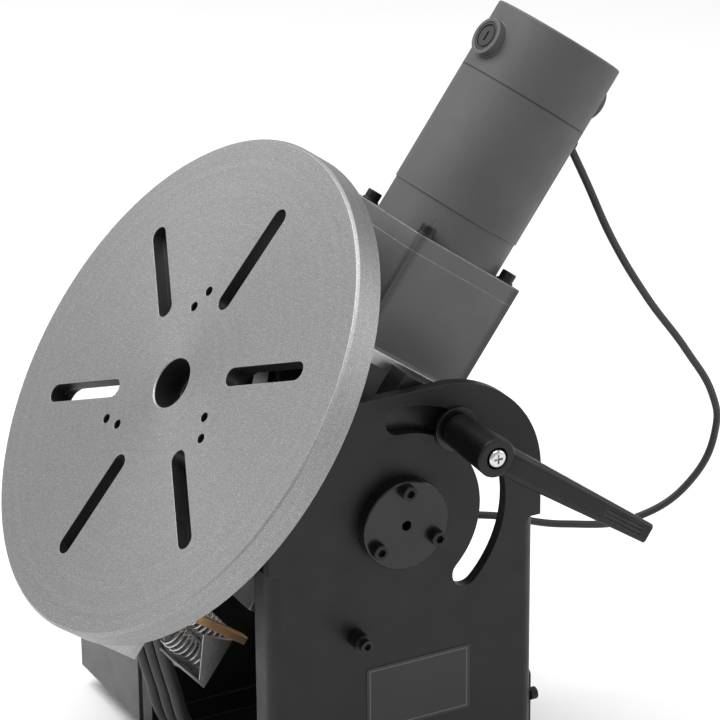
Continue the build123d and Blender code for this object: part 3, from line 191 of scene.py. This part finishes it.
def finish(name, colour, metallic, roughness, mottle=0.12, grain=900, grain_height=0.00002,
           stretch=(1, 1, 1), edge=None, edge_share=0.6, edge_radius=0.0008, specular=0.5):
    """A worn metal, paint or plastic: colour patches, fine surface grain and lighter edges, which are
    rubbed wear and on the lever handle also a painted highlight.
    """
    n = Nodes(name)
    patches = n.noise(14, 4)
    fine = n.noise(grain, 3, 0.6, stretch)
    tone = n.maths("ADD", n.maths("MULTIPLY", patches, 0.6), n.maths("MULTIPLY", fine, 0.4))
    dark = tuple(c * (1 - mottle) for c in colour[:3]) + (1,)
    light = tuple(c * (1 + mottle) for c in colour[:3]) + (1,)
    shade = n.mix(n.spread(tone, 0.35, 0.65), dark, light)
    rounded, rim = n.edges(edge_radius)
    if edge:
        edge_wear_and_highlight = n.maths("MULTIPLY", rim, n.spread(n.noise(120, 4), 0.3, 0.7, 0.35, 1.0))
        shade = n.mix(n.maths("MULTIPLY", edge_wear_and_highlight, edge_share), shade, edge)
    bump = n.add("ShaderNodeBump", 1.0, grain_height)
    n.put(bump.inputs["Strength"], 0.6)
    n.put(bump.inputs["Distance"], grain_height)
    n.put(bump.inputs["Height"], fine)
    n.put(bump.inputs["Normal"], rounded)
    rough = n.spread(n.noise(45, 5), 0.3, 0.7, roughness * 0.85, min(1.0, roughness * 1.15))
    n.set(Base_Color=shade, Metallic=metallic, Roughness=rough, Normal=bump.outputs[0])
    n.surface.inputs["Specular IOR Level"].default_value = specular
    return n


def turned(name, colour, roughness, centre, axis, ring_scale=2600, ring_height=0.00003, mottle=0.16,
           anisotropy=0.55, speckle=0.1, edge_radius=0.0007, metallic=1.0, slot_shade_radius=None):
    """Lathe-turned metal: rings round an axis, speckled, with bright edges and painted shade on the slot
    walls.
    """
    n = Nodes(name)
    arm = n.vector("SUBTRACT", n.place, tuple(centre))
    around = n.vector("CROSS_PRODUCT", tuple(axis), arm)
    radius = n.vector("LENGTH", around)
    along = n.vector("DOT_PRODUCT", arm, tuple(axis))
    position = n.maths("ADD", radius, n.maths("MULTIPLY", along, 1.7))
    rings = n.add("ShaderNodeTexNoise", noise_dimensions="1D")
    n.put(rings.inputs["W"], position)
    n.put(rings.inputs["Scale"], ring_scale)
    n.put(rings.inputs["Detail"], 3)
    broad = n.add("ShaderNodeTexNoise", noise_dimensions="1D")
    n.put(broad.inputs["W"], position)
    n.put(broad.inputs["Scale"], ring_scale / 14)
    grains = n.noise(1500, 2, 0.7)
    patches = n.noise(9, 2)
    fine_tone = n.maths("MULTIPLY", rings.outputs[0], 0.5)
    broad_tone = n.maths("MULTIPLY", broad.outputs[0], 0.3)
    tone = n.maths("ADD", fine_tone, broad_tone)
    tone = n.maths("ADD", tone, n.maths("MULTIPLY", patches, 0.2))
    dark = tuple(c * (1 - mottle) for c in colour[:3]) + (1,)
    light = tuple(c * (1 + mottle) for c in colour[:3]) + (1,)
    shade = n.mix(n.spread(tone, 0.38, 0.62), dark, light)
    shade = n.mix(n.maths("MULTIPLY", n.spread(grains, 0.5, 0.66), speckle), shade, grey(0.8))
    shade = n.mix(n.maths("MULTIPLY", n.spread(grains, 0.5, 0.34), speckle), shade, grey(0.10))
    # Painted shade: sideways-facing slot and hole walls inside this radius are darkened towards near
    # black.
    if slot_shade_radius:
        normal = n.add("ShaderNodeNewGeometry").outputs["Normal"]
        facing = n.maths("ABSOLUTE", n.vector("DOT_PRODUCT", normal, tuple(axis)))
        inside = n.maths("LESS_THAN", radius, slot_shade_radius)
        slot_shade = n.maths("MULTIPLY", inside, 0.85)
        shade = n.mix(n.maths("MULTIPLY", n.maths("LESS_THAN", facing, 0.5), slot_shade), shade, grey(0.02))
    rounded, rim = n.edges(edge_radius)
    shade = n.mix(n.maths("MULTIPLY", rim, 0.3), shade, grey(0.7))
    bump = n.add("ShaderNodeBump")
    n.put(bump.inputs["Strength"], 0.5)
    n.put(bump.inputs["Distance"], ring_height)
    n.put(bump.inputs["Height"], n.maths("ADD", rings.outputs[0], n.maths("MULTIPLY", grains, 0.5)))
    n.put(bump.inputs["Normal"], rounded)
    rough = n.spread(grains, 0.3, 0.7, roughness * 0.94, roughness * 1.06)
    n.set(Base_Color=shade, Metallic=metallic, Roughness=rough, Normal=bump.outputs[0])
    n.set(Anisotropic=anisotropy, Tangent=n.vector("NORMALIZE", around))
    return n


def overlay(n, share, colour):
    """Mixes another colour over the material's own."""
    base = n.surface.inputs["Base Color"].links[0].from_socket
    n.set(Base_Color=n.mix(share, base, colour))


def paint(nodes, material):
    """Gives carried-over CAD nodes a material."""
    for node in nodes.split():
        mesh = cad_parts[node].data
        mesh.materials.clear()
        mesh.materials.append(material)


# ---- Materials ----------------------------------------------------------------------------------

black_steel = finish("black_powder_coat", grey(0.0055), 0.0, 0.45, mottle=0.25, grain=1400,
                     grain_height=0.00004, edge=grey(0.07), edge_share=0.5, edge_radius=0.0009,
                     specular=0.35)
cradle_steel = finish("cradle_paint", grey(0.010), 0.1, 0.35, mottle=0.15, grain=1100,
                      edge=grey(0.12), edge_share=0.5)
gloss_black = finish("gloss_black", grey(0.005), 0.0, 0.28, mottle=0.2, grain=700, grain_height=0.00003,
                     edge=grey(0.06), edge_share=0.5, specular=0.45)
ground_steel = finish("ground_steel", grey(0.52), 1.0, 0.34, mottle=0.12, grain=260, grain_height=0.00001,
                      stretch=(1, 9, 9), edge=grey(0.85), edge_share=0.7)
bright_steel = finish("bright_steel", grey(0.62), 1.0, 0.22, mottle=0.08, grain=400,
                      grain_height=0.000006, edge=grey(0.9), edge_share=0.5)
zinc = finish("zinc_plate", grey(0.55, (1.0, 1.0, 1.01)), 1.0, 0.36, mottle=0.22, grain=500,
              grain_height=0.00002, edge=grey(0.85), edge_share=0.5)
black_oxide = finish("black_oxide", grey(0.012), 0.5, 0.34, mottle=0.2, edge=grey(0.16), edge_share=0.5,
                     edge_radius=0.0004)
motor_paint = finish("motor_paint", grey(0.088), 0.1, 0.6, mottle=0.10, grain=1300, grain_height=0.00003,
                     edge=grey(0.45), edge_share=0.6, specular=0.3)
gear_case = finish("gear_case", grey(0.105), 0.35, 0.45, mottle=0.10, grain=1000, grain_height=0.00003,
                   edge=grey(0.6), edge_share=0.7)
box_paint = finish("box_paint", grey(0.07), 0.05, 0.45, mottle=0.06, grain=1500, grain_height=0.00004,
                   edge=grey(0.35), edge_share=0.5)
plastic = finish("black_plastic", grey(0.022), 0.0, 0.45, mottle=0.15, grain=2200, grain_height=0.00003,
                 edge=grey(0.09), edge_share=0.5, edge_radius=0.0005)
# Its lighter edges are partly rubbed wear and partly a painted soft highlight along the arm's top edge.
handle_plastic = finish("handle_plastic", grey(0.010), 0.0, 0.42, mottle=0.12, grain=1800,
                        grain_height=0.00003, edge=grey(0.12), edge_share=0.6, edge_radius=0.0014,
                        specular=0.35)
rubber = finish("cable_rubber", grey(0.018), 0.0, 0.52, mottle=0.2, grain=2500, grain_height=0.00003)
bar_copper = finish("copper_bar", (0.78, 0.47, 0.25, 1), 0.9, 0.42, mottle=0.15, grain=300,
                    stretch=(3, 1, 1), edge=(0.9, 0.62, 0.4, 1))
copper = finish("copper", (0.62, 0.30, 0.18, 1), 1.0, 0.35, mottle=0.2, grain=500,
                edge=(0.85, 0.5, 0.36, 1))
bronze = finish("bronze", (0.50, 0.36, 0.16, 1), 1.0, 0.35, mottle=0.15, grain=500,
                edge=(0.8, 0.6, 0.35, 1))
graphite = finish("graphite", grey(0.05), 0.3, 0.5, mottle=0.2, grain=900, edge=grey(0.2))
board = finish("circuit_board", (0.02, 0.09, 0.05, 1), 0.0, 0.45, mottle=0.2, grain=600)

# The faceplate's slot and hole walls get painted shade.
disc_metal = turned("turned_faceplate", grey(0.285), 0.50, TILT_CENTRE, OUT, mottle=0.06,
                    anisotropy=0.2, speckle=0.3, metallic=0.85, slot_shade_radius=SLOTTED_RADIUS)
spindle_metal = turned("turned_spindle", grey(0.16), 0.4, TILT_CENTRE, OUT, ring_scale=3500,
                       speckle=0.05)
label_foil = finish("label_foil", grey(0.006), 0.0, 0.35, mottle=0.05, grain=900, grain_height=0.000005)
dial_white = finish("dial_print", grey(0.75), 0.0, 0.5, mottle=0.05)


def darken_hub(n):
    """The lever's hub is blacker than its arm."""
    low, high = (Vector(corner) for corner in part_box("lever_insert"))
    reach = n.vector("SUBTRACT", n.place, tuple((low + high) / 2))
    radius = n.vector("LENGTH", n.vector("CROSS_PRODUCT", reach, tuple(ACROSS)))
    overlay(n, n.spread(radius, HUB_OUTER, HUB_INNER), grey(0.003))


def darken_seam(n):
    """A thin dark seam between the motor's body and its end cap."""
    arm = n.vector("SUBTRACT", n.place, tuple(TILT_CENTRE))
    height = n.vector("DOT_PRODUCT", arm, tuple(UP_MOTOR))
    gap = n.maths("ABSOLUTE", n.maths("SUBTRACT", height, SEAM_HEIGHT))
    overlay(n, n.maths("LESS_THAN", gap, SEAM_HALF), grey(0.035))


def paint_corner_reflection(n):
    """Painted dark reflection: the gearhead's long corners are made darker than its faces, standing in
    for rounded corners that mirror the dark surroundings.
    """
    arm = n.vector("SUBTRACT", n.place, tuple(TILT_CENTRE + OUT * MOTOR_OFFSET))
    across = n.maths("ABSOLUTE", n.vector("DOT_PRODUCT", arm, tuple(ACROSS)))
    outward = n.maths("ABSOLUTE", n.vector("DOT_PRODUCT", arm, tuple(OUT)))
    from_corner = n.maths("SUBTRACT", 2 * GEARHEAD_HALF, n.maths("ADD", across, outward))
    # Painted dark reflection band along each long corner.
    corner_reflection = n.maths("MULTIPLY", n.spread(from_corner, CORNER_REFLECTION_WIDE, CORNER_REFLECTION_NARROW), 0.55)
    overlay(n, corner_reflection, grey(0.02))


def outline_label(n):
    """A thin printed frame round the blank label."""
    low, high = (Vector(corner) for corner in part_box("rating_label"))
    middle = (low + high) / 2
    half = (high - low) / 2
    arm = n.vector("ABSOLUTE", n.vector("SUBTRACT", n.place, tuple(middle)))
    parts = n.add("ShaderNodeSeparateXYZ", arm)
    from_side = n.maths("SUBTRACT", half.y - LABEL_MARGIN, parts.outputs[1])
    from_top = n.maths("SUBTRACT", half.z - LABEL_MARGIN, parts.outputs[2])
    nearest = n.maths("ABSOLUTE", n.maths("MINIMUM", from_side, from_top))
    overlay(n, n.maths("LESS_THAN", nearest, LABEL_LINE), grey(0.08))


darken_hub(handle_plastic)
darken_seam(motor_paint)
# Painted dark reflection on the gearhead's long corners.
paint_corner_reflection(gear_case)
outline_label(label_foil)

paint("base_plate floor_angles side_plate_right side_plate_left rear_panel", black_steel.material)
paint("cradle_arm_right cradle_arm_left spindle_housing", cradle_steel.material)
paint("trunnions lever_insert clamp_washer", gloss_black.material)
paint("cradle_plate cradle_web", ground_steel.material)
paint("bevel_wheel bevel_pinion output_shaft countershaft spindle_nut clamp_stud "
      "spindle_bearings drive_bearings lever_screw cover_screws", bright_steel.material)
paint("brush_arm brush_springs lever_spring", zinc.material)
paint("frame_screws side_screw trunnion_screws cradle_screws gearbox_screws disc_screws",
      black_oxide.material)
paint("motor_adapter motor_yoke motor_end_cap", motor_paint.material)
paint("gearbox_casing gearbox_flange", gear_case.material)
paint("control_box control_box_cover", box_paint.material)
paint("speed_knob switch_bezels direction_rocker power_rocker box_sockets brush_caps terminal_block",
      plastic.material)
paint("speed_controller", board.material)
paint("lever_handle", handle_plastic.material)
paint("cable_gland", rubber.material)
paint("motor_armature", copper.material)
paint("copper_bar", bar_copper.material)
paint("trunnion_bushes", bronze.material)
paint("carbon_brushes ground_brush motor_magnets", graphite.material)
paint("table_disc", disc_metal.material)
paint("spindle", spindle_metal.material)
paint("rating_label", label_foil.material)

# ---- Cables -------------------------------------------------------------------------------------


def tube(name, points, radius, material, sides=10, steps=14):
    """Round cable through the points, as a closed mesh."""
    curve = bpy.data.curves.new(name + "_path", "CURVE")
    curve.dimensions = "3D"
    curve.bevel_depth = radius
    curve.bevel_resolution = sides // 2
    curve.resolution_u = steps
    curve.use_fill_caps = True
    spline = curve.splines.new("BEZIER")
    spline.bezier_points.add(len(points) - 1)
    for knot, point in zip(spline.bezier_points, points):
        knot.co = point
        knot.handle_left_type = knot.handle_right_type = "AUTO"
    shape = bpy.data.objects.new(name + "_path", curve)
    bpy.context.scene.collection.objects.link(shape)
    bpy.context.view_layer.update()
    mesh = bpy.data.meshes.new_from_object(shape.evaluated_get(bpy.context.evaluated_depsgraph_get()))
    bpy.data.objects.remove(shape)
    made = bpy.data.objects.new(name, mesh)
    bpy.context.scene.collection.objects.link(made)
    mesh.materials.clear()
    mesh.materials.append(material)
    for face in mesh.polygons:
        face.use_smooth = True
    return made


def millimetres(points):
    """Points given in mm, with Z from the tilt axis, as row frame points in metres."""
    return [TILT_CENTRE + Vector(point) / 1000 for point in points]


gland_end = TILT_CENTRE + UP_MOTOR * GLAND_HEIGHT + OUT * (MOTOR_OFFSET - MOTOR_RADIUS - GLAND_PROUD)
cable_start = gland_end + OUT * GLAND_DEPTH
cable_rest = millimetres([(2, 201, 166), (6, 221, 120), (6, 250, 72), (4, 286, 23), (4, 309, -16),
                          (2, 314, -41), (0, 298, -78), (-12, 260, -106), (-25, 205, -105),
                          (-40, 151, -92), (-72, 85, -92), (-97, 28, -104)])
motor_cable = tube("motor_cable_sheath", [cable_start] + cable_rest, MOTOR_CABLE_RADIUS, rubber.material)
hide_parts("motor_cable")
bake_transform(motor_cable)

for step in range(3):
    x = GROUND_CABLE_START + GROUND_CABLE_STEP[0] * step
    y = GROUND_CABLE_STEP[1] * step
    places = millimetres([(x, y - 126, -88), (x, y - 119, -120), (x, y - 112, -147), (x, y - 103, -178),
                          (x, y - 84, -203), (x, -56, -217), (x, -36, -219)])
    cable = tube("ground_cable_%d" % (step + 1), places, GROUND_CABLE_RADIUS, rubber.material)
    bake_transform(cable)
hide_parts("ground_cables")

# ---- Return spring in the lever's hub, a rigid coil parented to the lever insert's body; the real spring shortens as the handle is pulled out ---

coil_low, coil_high = (Vector(corner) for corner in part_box("lever_spring"))
coil_middle = (coil_low + coil_high) / 2
coil_first = coil_low.x + COIL_WIRE
coil_length = coil_high.x - COIL_WIRE - coil_first
coil_points = []
for step in range(COIL_TURNS * COIL_STEPS + 1):
    turn = 2 * pi * step / COIL_STEPS
    x = coil_first + coil_length * step / (COIL_TURNS * COIL_STEPS)
    arm = Vector((0, cos(turn), sin(turn))) * COIL_RADIUS
    coil_points.append(Vector((x, coil_middle.y, coil_middle.z)) + arm)
coil = tube("lever_spring_coil", coil_points, COIL_WIRE, zinc.material, sides=8, steps=3)
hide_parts("lever_spring")
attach(coil, "lever_insert")
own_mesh(coil)

# ---- Dial: ticks on the control box cover -------------------------------------------------------


def flat_mesh(name, corners, material):
    """Thin four-cornered plates, each given by its corners in the row frame."""
    mesh = bpy.data.meshes.new(name)
    points = [corner for four in corners for corner in four]
    mesh.from_pydata(points, [], [tuple(range(4 * k, 4 * k + 4)) for k in range(len(corners))])
    mesh.materials.append(material)
    made = bpy.data.objects.new(name, mesh)
    bpy.context.scene.collection.objects.link(made)
    thick = made.modifiers.new("thickness", "SOLIDIFY")
    thick.thickness = TICK_THICKNESS
    return made


ticks = []
for step in range(DIAL_STEPS):
    turn = DIAL_START + DIAL_STEP * step
    side = Vector((0, -sin(turn), cos(turn)))
    half = Vector((0, -cos(turn), -sin(turn))) * TICK_HALF
    near = DIAL_CENTRE + side * (TICK_INNER if step % 5 else LONG_TICK_INNER)
    far = DIAL_CENTRE + side * TICK_OUTER
    ticks.append([near - half, far - half, far + half, near + half])
dial_ticks = flat_mesh("dial_ticks", ticks, dial_white.material)
for corner in dial_ticks.data.vertices:
    corner.co.x = DIAL_PRINT_X
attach(dial_ticks, "base")

# ---- Floor, light and camera --------------------------------------------------------------------

floor_nodes = Nodes("pale_floor")
floor_shade = floor_nodes.mix(floor_nodes.noise(3), grey(0.90), grey(0.93))
floor_nodes.set(Base_Color=floor_shade, Roughness=0.8)
floor_mesh = bpy.data.meshes.new("floor")
floor_corners = [(x * FLOOR_HALF, y * FLOOR_HALF, 0) for x, y in ((-1, -1), (1, -1), (1, 1), (-1, 1))]
floor_mesh.from_pydata(floor_corners, [], [(0, 1, 2, 3)])
floor_mesh.materials.append(floor_nodes.material)
floor = bpy.data.objects.new("floor", floor_mesh)
floor.location.z = FLOOR_HEIGHT
bpy.context.scene.collection.objects.link(floor)

face_centre = TILT_CENTRE + OUT * FACE_HEIGHT
level_right = Vector((cos(AZIMUTH), sin(AZIMUTH), 0))
level_up = Vector((-sin(AZIMUTH) * sin(ELEVATION), cos(AZIMUTH) * sin(ELEVATION), cos(ELEVATION)))
back = Vector((sin(AZIMUTH) * cos(ELEVATION), -cos(AZIMUTH) * cos(ELEVATION), sin(ELEVATION)))
right = level_right * cos(ROLL) + level_up * sin(ROLL)
up = level_up * cos(ROLL) - level_right * sin(ROLL)
camera_data = bpy.data.cameras.new("camera")
camera_data.sensor_width = 36
camera_data.lens = LENS
camera_data.clip_end = 50
camera = bpy.data.objects.new("camera", camera_data)
camera.matrix_world = Matrix((
    (right.x, up.x, back.x, 0), (right.y, up.y, back.y, 0), (right.z, up.z, back.z, 0), (0, 0, 0, 1)))
camera.location = face_centre + right * CAMERA_RIGHT + up * CAMERA_UP + back * CAMERA_BACK
bpy.context.scene.collection.objects.link(camera)
bpy.context.scene.camera = camera


def softbox(name, direction, distance, size, power):
    """Square area light that faces the object."""
    lamp = bpy.data.lights.new(name, "AREA")
    lamp.shape = "SQUARE"
    lamp.size = size
    lamp.energy = power
    made = bpy.data.objects.new(name, lamp)
    away = direction.normalized()
    made.location = LIGHT_TARGET + away * distance
    made.rotation_euler = away.to_track_quat("Z", "Y").to_euler()
    bpy.context.scene.collection.objects.link(made)
    return made


softbox("key_light", -right * 1.0 + up * 1.6 + back * 0.5, 2.4, 1.6, 50)
softbox("fill_light", right * 1.5 + up * 0.6 + back * 0.2, 2.6, 1.8, 18)
softbox("top_light", Vector((0, 0, 1)) + back * 0.1, 2.2, 1.6, 22)

world = bpy.data.worlds.new("studio")
world.use_nodes = True
bpy.context.scene.world = world
sky = world.node_tree.nodes["Background"]
sky.inputs[0].default_value = (1, 1, 1, 1)
sky.inputs[1].default_value = 0.55
bpy.context.scene.view_settings.view_transform = "Standard"
